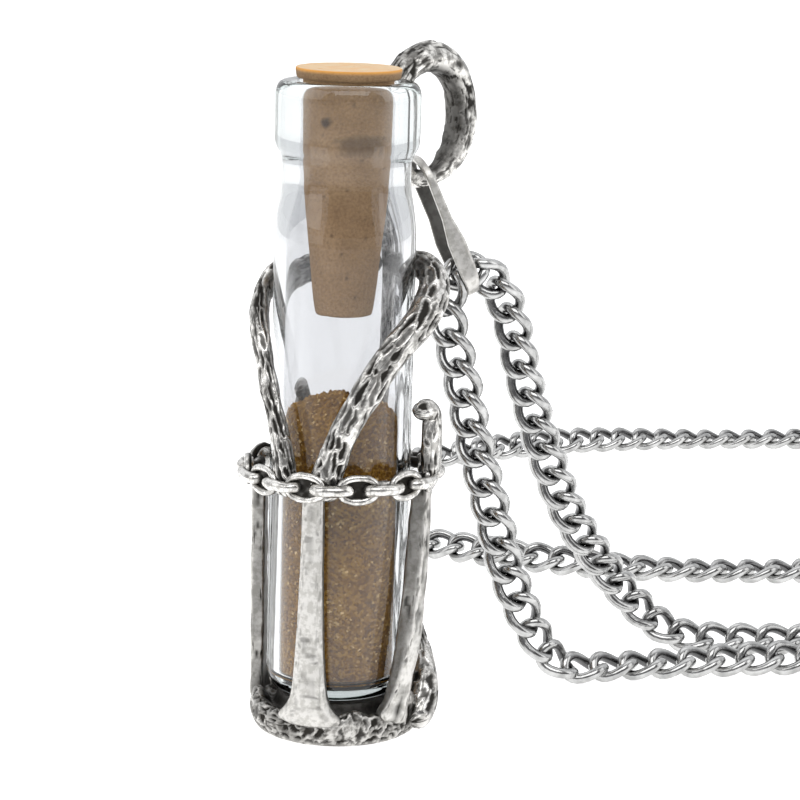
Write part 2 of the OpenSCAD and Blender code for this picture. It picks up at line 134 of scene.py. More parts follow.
def cellField(p, salt, jitter=0.85, wrap=0):
    # One seed in every unit cell: distances to the nearest and second seed, and the nearest one's tag.
    # With wrap, p is a sheet that closes on itself after that many cells of its second direction
    base, size = np.floor(p), p.shape[-1]
    near = np.full(p.shape[:-1], 9.0)
    second, tag = near.copy(), np.zeros_like(near)
    for offset in np.ndindex(*[3] * size):
        cell = base + np.array(offset) - 1
        key = np.stack([cell[..., 0], cell[..., 1] % wrap, 0 * cell[..., 0]], -1) if wrap else cell
        seed = cell + 0.5 + jitter * (np.stack([hashed(key, salt + k) for k in range(size)], -1) - 0.5)
        gap = np.linalg.norm(p - seed, axis=-1)
        closer = gap < near
        second = np.where(closer, near, np.minimum(second, gap))
        tag = np.where(closer, hashed(key, salt + 9), tag)
        near = np.minimum(near, gap)
    return near, second, tag


def ringNormals(rings):
    # Outward direction of each point of a stack of closed rings, from its neighbours
    along = np.gradient(rings, axis=0)
    across = np.roll(rings, -1, 1) - np.roll(rings, 1, 1)
    normal = unit(np.cross(across, along))
    middle = rings.mean(1, keepdims=True)
    return normal * np.sign(((rings - middle) * normal).sum(-1).mean() or 1)


def skinFaces(rows, cols, looped=False):
    # Quads between neighbouring rings; an open stack also gets a fan to a middle point at each end
    i, j = np.meshgrid(np.arange(rows if looped else rows - 1), np.arange(cols), indexing="ij")
    k, up = (j + 1) % cols, (i + 1) % rows
    quads = np.stack([i * cols + j, i * cols + k, up * cols + k, up * cols + j], -1).reshape(-1, 4)
    if looped:
        return quads, np.zeros((0, 3), int)
    j = np.arange(cols)
    k, end, last = (j + 1) % cols, rows * cols, (rows - 1) * cols
    low = np.stack([k, j, np.full(cols, end)], 1)
    high = np.stack([last + j, last + k, np.full(cols, end + 1)], 1)
    return quads, np.vstack([low, high])


def closedSkin(rings, mark=0):
    # A closed shell over a stack of rings, with its stain and painted-shade value at each point
    mark = np.broadcast_to(mark, rings.shape[:2])
    points = np.vstack([rings.reshape(-1, 3), rings[0].mean(0), rings[-1].mean(0)])
    return points, *skinFaces(*rings.shape[:2]), np.append(mark.ravel(), [mark[0].mean(), mark[-1].mean()])


def loopedSkin(rings, mark=0):
    # A shell whose last ring joins its first, such as a link
    mark = np.broadcast_to(mark, rings.shape[:2])
    return rings.reshape(-1, 3), *skinFaces(*rings.shape[:2], looped=True), mark.ravel()


def carried(p, a, b, c):
    # Points given along three axes, carried to the directions a, b and c
    return p[..., :1] * a + p[..., 1:2] * b + p[..., 2:] * c


def newObject(name, data):
    made = bpy.data.objects.new(name, data)
    bpy.context.scene.collection.objects.link(made)
    return made


def makePiece(name, body, shells, material, node):
    # Joins the shells into one mesh in metres, faces outward, and hangs it on its body
    points, quads, tris, marks, start = [], [], [], [], 0
    for corner, quad, tri, mark in shells:
        a, b, c = corner[quad[:, 0]], corner[quad[:, 1]], corner[quad[:, 2]]
        if np.einsum("ij,ij->i", a - corner.mean(0), np.cross(b - a, c - a)).sum() < 0:
            quad, tri = quad[:, ::-1], tri[:, ::-1]
        points.append(corner)
        quads.append(quad + start)
        tris.append(tri + start)
        marks.append(mark)
        start += len(corner)
    mesh = bpy.data.meshes.new(name)
    faces = np.vstack(quads).tolist() + np.vstack(tris).tolist()
    mesh.from_pydata((np.vstack(points) * millimetre).tolist(), [], faces)
    mesh.shade_smooth()
    mesh.attributes.new("stainAndShade", "FLOAT", "POINT").data.foreach_set("value", np.concatenate(marks))
    mesh.materials.append(material)
    piece = newObject(name, mesh)
    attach(piece, body)
    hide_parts(node)
    print(name, len(mesh.vertices), "points")
    return piece


def sRgb(code):
    # Linear colour of an sRGB hex code
    c = np.array([int(code[k:k + 2], 16) for k in (1, 3, 5)]) / 255
    return (*np.where(c <= 0.04045, c / 12.92, ((c + 0.055) / 1.055) ** 2.4), 1.0)


def fillSockets(tree, node, links):
    # Each socket takes a value, another node's output, or a node, which stands for its first output
    for socket, value in links.items():
        value = value.outputs[0] if isinstance(value, bpy.types.Node) else value
        if isinstance(value, bpy.types.NodeSocket):
            tree.links.new(value, node.inputs[socket])
        else:
            node.inputs[socket].default_value = value


def addNode(tree, kind, links=None, stops=None, **settings):
    # A node with its settings, its sockets filled and, for a colour ramp, its stops
    node = tree.nodes.new("ShaderNode" + kind)
    for key, value in settings.items():
        setattr(node, key, value)
    fillSockets(tree, node, links or {})
    if stops:
        while len(node.color_ramp.elements) < len(stops):
            node.color_ramp.elements.new(0.5)
        for element, (place, code) in zip(node.color_ramp.elements, stops):
            element.position, element.color = place, sRgb(code)
    return node


def mixNode(tree, share, low, high, **settings):
    return addNode(tree, "Mix", {0: share, 6: low, 7: high}, data_type="RGBA", **settings).outputs[2]


def newMaterial(name):
    material = bpy.data.materials.new(name)
    material.use_nodes = True
    tree = material.node_tree
    return material, tree, tree.nodes["Principled BSDF"]


# Camera, at the photograph's height above the floor and its lens

cameraLook = {"right": 5.16, "back": -260.0, "up": 82.4, "tilt": 11.39, "roll": 1.5,
              "focalPixels": 3000, "turn": 30}


def pictureTurn(p):
    # From the picture's own right, back and up to the part's axes
    a = math.radians(cameraLook["turn"])
    p = np.asarray(p, float)
    x, y = p[..., 0], p[..., 1]
    return np.stack([x * math.cos(a) - y * math.sin(a), x * math.sin(a) + y * math.cos(a), p[..., 2]], -1)


def makeCamera(look):
    # Looks back into the picture, tilted down, and rolled about its line of sight
    tilt, roll = math.radians(look["tilt"]), math.radians(look["roll"])
    forward = np.array([0, math.cos(tilt), -math.sin(tilt)])
    right = np.array([1.0, 0, 0])
    up = np.cross(right, forward)
    across = right * math.cos(roll) + up * math.sin(roll)
    upward = up * math.cos(roll) - right * math.sin(roll)
    place = np.array([look["right"], look["back"], look["up"]]) * millimetre
    columns = [pictureTurn(v) for v in (across, upward, -forward, place)]
    data = bpy.data.cameras.new("photoCamera")
    data.sensor_width, data.lens = 36, 36 * look["focalPixels"] / 800
    data.clip_start = 0.01
    camera = newObject("photoCamera", data)
    camera.matrix_world = Matrix([[*(c[k] for c in columns)] for k in range(3)] + [[0, 0, 0, 1]])
    bpy.context.scene.camera = camera


makeCamera(cameraLook)
print("camera placed")


# Floor, world and soft boxes

studioLook = {"floor": 6.0, "floorColour": "#CCCCCC", "strength": 1.0,
              "glow": 0.92, "dimGlow": 0.15, "dimFrom": -28, "dimTo": -130,
              # The surroundings from in front of the pendant, over its sides, to behind it
              "surround": [(0.0, "#8A8A8C"), (0.3, "#68686A"), (0.45, "#55555A"), (0.6, "#F6F7F9")]}


def makeFloor(look):
    # A light table, so shadows stay faint. Its glow eases down from dimFrom to dimTo in front of the
    # picture's lower edge, where it would only veil the glass
    mesh = bpy.data.meshes.new("tableTop")
    r = look["floor"]
    mesh.from_pydata([(-r, -r, 0), (r, -r, 0), (r, r, 0), (-r, r, 0)], [], [(0, 1, 2, 3)])
    floor = newObject("tableTop", mesh)
    material, tree, shader = newMaterial("mattWhiteCard")  # no gloss, so the table shows no reflection
    place = addNode(tree, "TexCoord")
    back = addNode(tree, "VectorMath", {0: place.outputs["Object"], 1: pictureTurn([0, 1, 0])},
                   operation="DOT_PRODUCT")
    glow = addNode(tree, "MapRange", {0: back.outputs["Value"], 1: look["dimTo"] * millimetre,
                                      2: look["dimFrom"] * millimetre, 3: look["dimGlow"], 4: look["glow"]})
    fillSockets(tree, shader, {"Base Color": sRgb(look["floorColour"]), "Roughness": 0.9,
                               "Specular IOR Level": 0.1, "Emission Color": (1, 1, 1, 1),
                               "Emission Strength": glow})
    mesh.materials.append(material)


def makeWorld(look):
    # White behind the pendant, for the glass, and darker at its sides and in front, for the metal
    world = bpy.data.worlds.new("studio")
    bpy.context.scene.world = world
    world.use_nodes = True
    tree = world.node_tree
    place = addNode(tree, "TexCoord")
    behind = addNode(tree, "VectorMath", {0: place.outputs["Generated"], 1: pictureTurn([0, 1, 0])},
                     operation="DOT_PRODUCT")
    share = addNode(tree, "MapRange", {0: behind.outputs["Value"], 1: -1, 2: 1})
    ramp = addNode(tree, "ValToRGB", {0: share}, stops=look["surround"])
    fillSockets(tree, tree.nodes["Background"], {"Color": ramp, "Strength": look["strength"]})


# Soft boxes, placed in the picture's axes and aimed at a point: place, aim, width, height, watts
softBoxes = {
    "leftBox": ((-480, -260, 320), (0, 0, 30), 500, 560, 1.15),
    "rightBox": ((520, -160, 300), (0, 0, 30), 300, 560, 0.8),
    "frontBox": ((40, -330, 430), (0, 0, 30), 460, 300, 1.15),
    "topBox": ((0, 160, 700), (0, 60, 0), 900, 600, 0.8),
}


def makeLights(boxes):
    # Each lamp's own Z points from its aim back to its place
    for name, (place, aim, width, height, watts) in boxes.items():
        light = bpy.data.lights.new(name, "AREA")
        light.shape, light.size, light.size_y = "RECTANGLE", width * millimetre, height * millimetre
        light.energy = watts
        lamp = newObject(name, light)
        place, aim = pictureTurn(place) * millimetre, pictureTurn(aim) * millimetre
        back = unit(place - aim)
        side = unit(np.cross([0, 0, 1], back) if abs(back[2]) < 0.98 else [1, 0, 0])
        up = np.cross(back, side)
        lamp.matrix_world = Matrix([[side[k], up[k], back[k], place[k]] for k in range(3)] + [[0, 0, 0, 1]])


makeFloor(studioLook)
makeWorld(studioLook)
makeLights(softBoxes)
bpy.context.scene.view_settings.view_transform = "Standard"
print("studio lit")


# Finishes

def clearGlass():
    # Soda-lime glass, drawn tube: clear, with a faint green cast where seen edge on
    material, tree, shader = newMaterial("clearSodaGlass")
    fillSockets(tree, shader, {"Base Color": sRgb("#E2E2E4"), "Roughness": 0.0, "IOR": 1.5,
                               "Transmission Weight": 1.0})
    depth = addNode(tree, "VolumeAbsorption", {"Color": sRgb("#BCE7D8"), "Density": 22.0})
    fillSockets(tree, tree.nodes["Material Output"], {"Volume": depth})
    return material


def cutCork():
    # Natural cork, cut and sanded: warm tan with fine dark pores and darker, softer patches
    material, tree, shader = newMaterial("sandedNaturalCork")
    place = addNode(tree, "TexCoord").outputs["Object"]
    grain = addNode(tree, "TexNoise", {"Vector": place, "Scale": 4400, "Detail": 4, "Roughness": 0.75})
    cloud = addNode(tree, "TexNoise", {"Vector": place, "Scale": 240, "Detail": 2})
    base = addNode(tree, "ValToRGB", {0: cloud}, stops=[(0.35, "#A4825A"), (0.65, "#BA9870")])
    speck = addNode(tree, "ValToRGB", {0: grain}, stops=[(0.36, "#7A5C40"), (0.6, "#FFFFFF")])
    colour = mixNode(tree, 0.4, base, speck, blend_type="MULTIPLY")
    height = addNode(tree, "SeparateXYZ", {0: place})
    # The upper edge of the head is orange and its top is pale; heights are in metres
    head = addNode(tree, "MapRange", {0: height.outputs["Z"], 1: 0.05892, 2: 0.05920})
    warm = mixNode(tree, head, colour, sRgb("#E2A048"))
    top = addNode(tree, "MapRange", {0: height.outputs["Z"], 1: 0.05922, 2: 0.05930})
    pale = mixNode(tree, top, warm, sRgb("#DFCDAF"))
    stain = addNode(tree, "Attribute", attribute_name="stainAndShade")
    final = mixNode(tree, stain.outputs["Fac"], pale, sRgb("#4A3826"))
    bump = addNode(tree, "Bump", {"Height": grain, "Strength": 0.25, "Distance": 0.00008})
    fillSockets(tree, shader, {"Base Color": final, "Normal": bump, "Roughness": 0.75})
    return material


def bronzeDust():
    # Bronze filings and dust: brown, with golden flecks and pale ones that are painted glints, about 0.2 mm
    # across
    material, tree, shader = newMaterial("fineBronzePowder")
    place = addNode(tree, "TexCoord").outputs["Object"]
    grain = addNode(tree, "TexVoronoi", {"Vector": place, "Scale": 4700})
    cloud = addNode(tree, "TexNoise", {"Vector": place, "Scale": 260, "Detail": 3})
    base = addNode(tree, "ValToRGB", {0: grain.outputs["Color"]},
                   stops=[(0.0, "#644216"), (0.45, "#936922"), (0.84, "#B88E40"), (0.95, "#FFDFA0")])
    shade = addNode(tree, "ValToRGB", {0: cloud}, stops=[(0.3, "#D9CFC4"), (0.7, "#FFFFFF")])
    colour = mixNode(tree, 1.0, base, shade, blend_type="MULTIPLY")
    bump = addNode(tree, "Bump", {"Height": grain.outputs["Distance"], "Strength": 0.5, "Distance": 0.0001})
    fillSockets(tree, shader, {"Base Color": colour, "Normal": bump, "Roughness": 0.85,
                               "Specular IOR Level": 0.15})
    return material


def castSilver(name, bright, dull, patchSize, roughness):
    # Oxidised cast silver: black in the pits, and darkened as painted shade where a limb looks inward; rubbed
    # bright where it stands out, with a cast skin's grain
    material, tree, shader = newMaterial(name)
    place = addNode(tree, "TexCoord").outputs["Object"]
    stainAndShade = addNode(tree, "Attribute", attribute_name="stainAndShade").outputs["Fac"]
    patch = addNode(tree, "TexNoise", {"Vector": place, "Scale": 1000 / patchSize, "Detail": 5,
                                       "Roughness": 0.62})
    grit = addNode(tree, "TexNoise", {"Vector": place, "Scale": 7000, "Detail": 3})
    rubbed = addNode(tree, "ValToRGB", {0: patch}, stops=[(0.42, dull), (0.56, bright)])
    colour = mixNode(tree, stainAndShade, rubbed, sRgb("#34322F"))
    rough = addNode(tree, "MapRange", {0: stainAndShade, 3: roughness, 4: 0.55})
    bump = addNode(tree, "Bump", {"Height": grit, "Strength": 0.2, "Distance": 0.00005})
    fillSockets(tree, shader, {"Base Color": colour, "Normal": bump, "Roughness": rough, "Metallic": 1.0})
    return material


def polishedSteel():
    # Drawn stainless wire, tumble polished: mirror-like, with faint handling haze, and painted shade
    # darkening the inner side of each link
    material, tree, shader = newMaterial("tumblePolishedSteel")
    place = addNode(tree, "TexCoord").outputs["Object"]
    haze = addNode(tree, "TexNoise", {"Vector": place, "Scale": 900, "Detail": 4})
    rough = addNode(tree, "MapRange", {0: haze, 1: 0.3, 2: 0.7, 3: 0.12, 4: 0.26})
    tint = addNode(tree, "ValToRGB", {0: haze}, stops=[(0.35, "#A2A2A1"), (0.65, "#C9C9C8")])
    stainAndShade = addNode(tree, "Attribute", attribute_name="stainAndShade").outputs["Fac"]
    colour = mixNode(tree, stainAndShade, tint, sRgb("#3A3A3C"))
    fillSockets(tree, shader, {"Base Color": colour, "Roughness": rough, "Metallic": 1.0})
    return material


glassFinish, corkFinish, powderFinish = clearGlass(), cutCork(), bronzeDust()
barkFinish = castSilver("oxidisedCastSilver", "#ECEAE6", "#B2B0AC", 0.7, 0.23)
crookFinish = castSilver("darkOxidisedSilver", "#F0EEE9", "#94928E", 1.0, 0.26)
baseFinish = castSilver("dullCastSilver", "#CBC9C5", "#8E8C88", 0.8, 0.34)
strapFinish = castSilver("satinCastSilver", "#D6D4D0", "#BCBAB5", 0.6, 0.4)
steelFinish = polishedSteel()
print("finishes made")


# Glass vial, cork and powder, each one turned profile

vial = {"radius": 6.25, "wall": 1.1, "foot": 3.6, "rim": 58.1, "floor": 4.8, "mouth": 4.1,
        "sides": 150, "spacing": 0.3}


def turned(profile, sides):
    # Rows of radius and height turned round Z into a stack of rings
    azimuth = np.linspace(0, 360, sides, endpoint=False)
    return around(azimuth[None, :], profile[:, :1], profile[:, 1:2])


def makeVial(look):
    # One wall: from the foot up the outside, over the lip, and down the inside to the floor
    r, bore, mouth = look["radius"], look["radius"] - look["wall"], look["mouth"]
    outside = [[0.05, 3.85], [2.2, 3.8], [3.6, 3.66], [4.35, look["foot"]], [5.2, 3.8], [5.85, 4.4],
               [r - 0.06, 5.1], [r, 5.9], [r, 8], [r, 20], [r, 35], [r, 41.5], [r - 0.01, 43.4],
               [r - 0.06, 45], [6.06, 46.4], [5.87, 47.6], [5.72, 48.6], [5.65, 49.6], [5.65, 50.6],
               [5.7, 51.3], [5.92, 51.9], [6.22, 52.4], [6.33, 53], [6.35, 54], [6.35, 56.6],
               [6.3, 57.3], [6.05, 57.85], [5.6, look["rim"]]]
    inside = [[4.6, look["rim"]], [4.25, 57.98], [mouth, 57.6], [mouth, 56], [mouth, 52], [mouth, 49.6],
              [4.2, 48.7], [4.5, 47.4], [4.83, 46.1], [bore - 0.1, 44.7], [bore - 0.02, 43.2], [bore, 41.5],
              [bore, 30], [bore, 20], [bore, 6.4], [bore - 0.15, 5.6], [4.6, 5], [3.8, look["floor"]],
              [0.05, look["floor"]]]
    profile = evenRows(easedRows(outside + inside, 12), look["spacing"])
    piece = makePiece("glassVial", "holder", [closedSkin(turned(profile, look["sides"]))],
                      glassFinish, "vial")
    piece.visible_shadow = False  # lamps light the cork and the powder straight through the glass


cork = {"rim": 58.1, "head": 59.3, "headRadius": 4.65, "neck": 3.98, "tip": 37.7, "tipRadius": 2.55,
        "sides": 180, "spacing": 0.16,
        # A knot hole and a water stain. Columns: azimuth, height, half width, half height, darkness
        "marks": [[6, 54.85, 0.5, 0.45, 1], [50, 53.1, 2.3, 0.75, 0.6]]}


def makeCork(look):
    # A tapered plug with a wider head, as rows of radius and height from the tip up
    n, t, wide = look["neck"], look["tipRadius"], look["headRadius"]
    tip, rim, head = look["tip"], look["rim"], look["head"]
    profile = easedRows([
        [0.05, tip], [1.4, tip], [t - 0.25, tip + 0.02], [t, tip + 0.3],
        [mixed(t, n, 0.22), 40.15], [mixed(t, n, 0.45), 43.8], [mixed(t, n, 0.74), 47.9],
        [mixed(t, n, 0.88), 51.2], [n, rim - 0.1], [n, rim + 0.12], [n + 0.12, rim + 0.19],
        [4.4, rim + 0.2], [4.53, rim + 0.28], [4.6, head - 0.6], [wide, head - 0.22],
        [wide - 0.05, head - 0.06], [wide - 0.2, head], [3, head], [0.05, head]], 6)
    profile = evenRows(profile, look["spacing"])
    rings = turned(profile, look["sides"])
    # Cut faces wander a few hundredths of a millimetre, and small pores sink into them
    near, _, tag = cellField(rings * 1.3, 4)
    pore = smoothStep(0.24 - near, 0, 0.14) * (tag > 0.8)
    rings = rings - ringNormals(rings) * (pore * 0.12 + 0.05 * layeredNoise(rings * 0.9, 3))[..., None]
    stain = pore * 0.5
    for azimuth, z, half, high, dark in look["marks"]:
        gap = (rings - around(azimuth, n, z)) / [half, half, high]
        ragged = np.linalg.norm(gap, axis=-1) + 0.7 * (layeredNoise(rings / 0.35, 6) - 0.5)
        stain = np.maximum(stain, dark * (1 - smoothStep(ragged, 0.5, 1.3)))
    # The side of the head is a little darker, fading out near its top
    z = rings[..., 2]
    headSideBand = smoothStep(z, rim, rim + 0.2) * (1 - smoothStep(z, rim + 0.7, rim + 1.05))
    stain = np.maximum(stain, 0.3 * headSideBand)
    makePiece("corkStopper", "stopper", [closedSkin(rings, stain)], corkFinish, "cork")


powder = {"radius": 5.05, "low": 4.9, "top": 28.8, "heap": 1.7, "sides": 260, "crumb": 0.6}


def makePowder(look):
    # A plug with an eased foot and brink; the heap rises as a power of the cosine toward the middle
    r, low, top = look["radius"], look["low"], look["top"]
    side = [[0.05, low], [r - 0.8, low], [r - 0.24, low + 0.24], [r, low + 0.8]]
    wall = [[r, z] for z in np.linspace(low + 1.2, top - 0.5, 50)]
    edge = np.radians(np.linspace(0, 90, 7))
    brink = [[r - 0.3 + 0.3 * math.cos(a), top - 0.3 + 0.3 * math.sin(a)] for a in edge]
    heap = [[x * r, top + look["heap"] * math.cos(x * math.pi / 2) ** 0.8]
            for x in np.linspace(0.92, 0.01, 60)]
    rings = turned(np.array(side + wall + brink + heap), look["sides"])
    # The top is crumbly: fine grains over soft lumps; the side only recedes, so it stays off the glass
    onTop = smoothStep(rings[..., 2], top - 0.9, top - 0.2)
    grains = 0.5 - cellField(rings / 0.5, 21)[0]
    lumps = layeredNoise(rings / 1.7, 17) - 0.5
    rings[..., 2] += onTop * (look["crumb"] * grains + 0.9 * lumps)
    shrink = 1 - 0.012 * layeredNoise(rings / 0.35, 31) * (1 + 2 * onTop)
    rings[..., :2] *= shrink[..., None]
    makePiece("bronzePowder", "holder", [closedSkin(rings)], powderFinish, "powder")


makeVial(vial)
makeCork(cork)
makePowder(powder)


# The casting: limbs with bark relief, straps, band and base

def barkRelief(q, along, turn, girth, look):
    # Cells laid round the limb and stretched along it, with a twist. A cell is a sunk, black pit with a
    # sloping edge, the borders between cells stand as bright ridges, and some cells stay filled; soft
    # lumps lie under it all, and fine dark streaks run along it. q is the place for the noises, along
    # the length in millimetres, and turn the share of a full turn
    salt = look["salt"]
    wrap = max(3, round(girth / look["pitWide"]))
    wander = np.stack([layeredNoise(q / 0.9, salt + 40 + k, 2) for k in range(2)], -1) - 0.5
    cells = np.stack(np.broadcast_arrays(along / look["pitLong"], turn * wrap + look["swirl"] * along), -1)
    near, second, tag = cellField(cells + wander * look["wander"], salt, 0.8, wrap)
    sunk = smoothStep(second - near, look["ridge"], look["ridge"] + look["slope"]) * (tag < look["share"])
    sunk = sunk * (0.6 + 0.4 * tag / look["share"])
    lumps = layeredNoise(q / [look["lumpSize"] * 1.5, look["lumpSize"], look["lumpSize"]], salt + 60, 2) - 0.5
    streak = smoothStep(layeredNoise(q / [1.1, 0.17, 0.17], salt + 80, 2), 0.56, 0.7)
    dark = np.maximum(sunk * look.get("tone", 1.15), streak * look["streak"])
    dark = dark + look["grime"] * smoothStep(-lumps, 0.08, 0.3)
    return lumps * look["lump"] - streak * 0.06 * look["streak"] - sunk * look["depth"], np.clip(dark, 0, 1)


def castPiece(name, shells, finish):
    makePiece(name, "holder", shells, finish, "cage")


def limbSkin(path, out, wide, thick, look, spacing=0.1, sharp=2.0):
    # A ring carried along a path: the ring is an ellipse, or a soft box where sharp is above 2, with its
    # half thickness along the out direction and its half width across the path
    rows = evenRows(np.column_stack([path, out, wide, thick]), spacing)
    path, out, wide, thick = rows[:, :3], rows[:, 3:6], rows[:, 6:7], rows[:, 7:8]
    heading = unit(np.gradient(path, axis=0))
    side = unit(np.cross(heading, out))
    face = np.cross(side, heading)
    a = angles(int(np.clip(2 * math.pi * max(wide.mean(), thick.mean()) / spacing, 24, 110)))
    c, s = (np.sign(v) * np.abs(v) ** (2 / sharp) for v in (np.cos(a), np.sin(a)))
    rings = path[:, None] + face[:, None] * (thick * c)[..., None] + side[:, None] * (wide * s)[..., None]
    # Ends are rounded off: the last rings shrink as a half ball does
    run = lengthAlong(path)
    left = np.minimum(run, run[-1] - run) / max(wide.mean(), 0.3)
    shrink = np.sqrt(1 - (1 - np.clip(left, 0.02, 1)) ** 2)[:, None, None]
    rings = path[:, None] + (rings - path[:, None]) * shrink
    normals = ringNormals(rings)
    q = np.stack(np.broadcast_arrays(run[:, None], thick * c, wide * s), -1)
    girth = math.pi * (wide.mean() + thick.mean())
    height, pits = barkRelief(q, run[:, None], a[None, :] / (2 * math.pi), girth, look)
    rings = rings + normals * (height * shrink[..., 0])[..., None]
    # Painted shade: the side that looks in at the glass, or into the crook, is darkened toward black
    return rings, np.maximum(pits, look["shade"] * smoothStep(-np.cos(a), 0.1, 0.85)[None, :])


cage = {"glass": 6.55, "bandZ": 23.6, "yokeZ": 41.4, "stemRadius": 8.2, "stem": 2.2, "armThick": 1.8}

# Columns: azimuth, share of the way from band to yoke, shares of the width and of the thickness
leftArm = {"width": 2.0, "rows": [
    [-7, -0.07, 1.5, 0.9], [-8, 0, 1.35, 0.95], [-9.3, 0.06, 1.15, 1], [-11.5, 0.15, 1.03, 0.95],
    [-17, 0.27, 0.95, 0.9], [-25, 0.39, 0.92, 0.85], [-33, 0.52, 0.98, 0.85], [-42, 0.65, 1.08, 0.9],
    [-55, 0.76, 1.18, 0.95], [-72, 0.86, 1.25, 0.9], [-90, 0.93, 1.35, 0.8], [-112, 0.96, 1.4, 0.9],
    [-137, 0.98, 1.3, 1], [-160, 1, 1.15, 1.05], [-182, 1, 1, 1]],
    "salt": 3, "pitLong": 2.6, "pitWide": 0.58, "ridge": 0.18, "slope": 0.25, "share": 0.85, "depth": 0.2,
    "lump": 0.34, "lumpSize": 1.3, "wander": 0.9, "swirl": 0.1, "streak": 0.9, "shade": 0.6, "grime": 0.5}
rightArm = {"width": 2.7, "rows": [
    [20, -0.07, 1.35, 1], [21, 0, 1.2, 1], [23, 0.07, 1.02, 1], [27, 0.16, 0.95, 1],
    [34, 0.29, 0.95, 1], [44, 0.42, 0.98, 1.05], [56, 0.56, 1, 1.15], [70, 0.69, 1.04, 1.3],
    [87, 0.79, 1.08, 1.5], [104, 0.885, 1.12, 1.6], [121, 0.965, 1.1, 1.45], [140, 1.005, 1, 1.2],
    [158, 1.01, 0.85, 1], [175, 1, 0.8, 1]],
    "salt": 8, "pitLong": 2.2, "pitWide": 0.66, "ridge": 0.16, "slope": 0.2, "share": 0.9, "depth": 0.26,
    "lump": 0.24, "lumpSize": 1.4, "wander": 0.65, "swirl": 0.3, "streak": 0.5, "shade": 0.75, "grime": 0.4}


def makeArm(name, look):
    # A flat bark limb whose middle line stays half its thickness outside the glass
    rows = easedRows(look["rows"], 8)
    thick = rows[:, 3] * cage["armThick"] / 2
    z = mixed(cage["bandZ"], cage["yokeZ"], rows[:, 1])
    path = around(rows[:, 0], cage["glass"] + thick, z)
    rings, stainAndShade = limbSkin(path, around(rows[:, 0], 1, 0 * z), rows[:, 2] * look["width"] / 2, thick, look)
    castPiece(name, [closedSkin(rings, stainAndShade)], barkFinish)


# Columns: azimuth, share of the band's height, shares of the stem's radius and thickness
rootAndStem = {"rows": [
    [96, 0.055, 0.88, 1], [103, 0.075, 0.93, 1.3], [112, 0.11, 0.955, 1.42], [121, 0.17, 0.965, 1.35],
    [134, 0.25, 0.96, 1.12], [151, 0.36, 0.97, 0.93], [162, 0.5, 0.98, 0.92], [170, 0.68, 0.98, 0.95],
    [176, 0.88, 0.99, 0.95], [178, 1.1, 1, 0.95], [174, 1.35, 1, 0.95], [171, 1.6, 1, 1],
    [172, 1.78, 1, 1], [178, 1.98, 1, 1], [185, 2.15, 1, 1]],
    "salt": 14, "pitLong": 1.9, "pitWide": 0.7, "ridge": 0.2, "slope": 0.3, "share": 0.8, "depth": 0.2,
    "lump": 0.35, "lumpSize": 1.6, "wander": 0.9, "swirl": 0.15, "streak": 0.8, "shade": 0.45, "grime": 0.5}


def makeStem(look):
    # A round limb: the root climbs round the back and runs on as the stem, up to the crook
    rows = easedRows(look["rows"], 8)
    path = around(rows[:, 0], cage["stemRadius"] * rows[:, 2], rows[:, 1] * cage["bandZ"])
    half = rows[:, 3] * cage["stem"] / 2
    rings, stainAndShade = limbSkin(path, around(rows[:, 0], 1, 0 * half), half, half, look)
    castPiece("rootAndStem", [closedSkin(rings, stainAndShade)], barkFinish)


# The crook closes on the stem again. Columns: angle from its far side, share from seat to full thickness
crook = {"z": 53.8, "radius": 5.5, "thick": 2.9, "seat": 1.7, "turn": 8, "azimuth": 186, "rows": [
    [212, 0.35], [190, 0.5], [165, 0.7], [140, 0.85], [115, 0.95], [90, 1], [65, 1],
    [40, 1], [15, 1], [-10, 0.95], [-35, 0.8], [-60, 0.4], [-80, 0.05], [-100, 0],
    [-120, 0.1], [-140, 0.2], [-160, 0.2]],
    "salt": 23, "pitLong": 1.7, "pitWide": 0.95, "ridge": 0.3, "slope": 0.4, "share": 0.5, "depth": 0.16,
    "lump": 0.42, "lumpSize": 1.4, "wander": 1.0, "swirl": 0.2, "streak": 0.9, "shade": 0.85, "grime": 0.5}


def crookMiddle(look):
    # The direction that the crook bows out in, from the stem, and the middle of its round
    turn = math.radians(look["turn"])
    out = np.array([math.sin(turn), math.cos(turn), 0])
    return out, around(look["azimuth"], cage["stemRadius"], look["z"]) + out * look["radius"]


def makeCrook(look):
    # A round limb bent in a circle, in the upright plane through its out direction
    rows = easedRows(look["rows"], 10)
    out, middle = crookMiddle(look)
    a = np.radians(rows[:, :1])
    outs = out * np.cos(a) + np.array([0, 0, 1]) * np.sin(a)
    half = mixed(look["seat"], look["thick"], rows[:, 1]) / 2
    rings, stainAndShade = limbSkin(middle + outs * look["radius"], outs, half, half, look)
    castPiece("crook", [closedSkin(rings, stainAndShade)], crookFinish)


# Prongs. Columns: azimuth of the post, azimuth of the tip
prongs = {"height": 7, "thick": 1.6, "wide": 2.7, "rows": [[104, 90], [-116, -104]],
          "salt": 31, "pitLong": 1.3, "pitWide": 0.8, "ridge": 0.25, "slope": 0.35, "share": 0.5,
          "depth": 0.12, "lump": 0.25, "lumpSize": 1.2, "wander": 0.6, "swirl": 0.1, "streak": 0.6,
          "shade": 1.0, "grime": 0.5}


